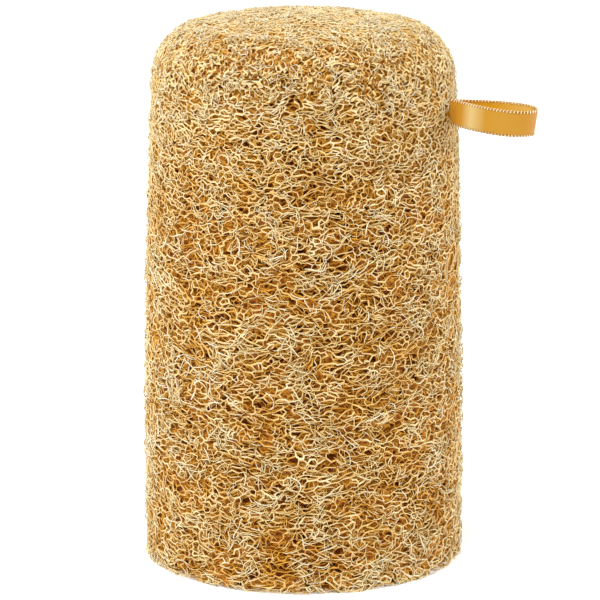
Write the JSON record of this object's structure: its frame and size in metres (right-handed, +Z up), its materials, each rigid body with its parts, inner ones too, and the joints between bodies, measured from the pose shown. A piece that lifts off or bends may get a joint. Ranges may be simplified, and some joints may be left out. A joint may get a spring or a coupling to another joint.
{
  "type": "natural loofah sponge",
  "caption": "Barrel-shaped natural loofah sponge with a net of raised strands and a small ribbon hanging loop near its top.",
  "frame": {"origin": "middle of the flat spot under the sponge, on the surface that it stands on", "axes": "+Z up along the sponge's length, +X out along the ribbon loop"},
  "size_m": [0.1109, 0.0894, 0.153],
  "materials": {
    "loofah_fibre": "dry matt plant fibre, pale straw on top and amber in the pits",
    "satin_ribbon": "gold satin weave with a looped selvedge",
    "cotton_thread": "twisted matt thread"
  },
  "bodies": {
    "root": {"loofah_sponge": "loofah_fibre", "ribbon_loop": "satin_ribbon", "tack_thread": "cotton_thread"}
  },
  "joints": []
}
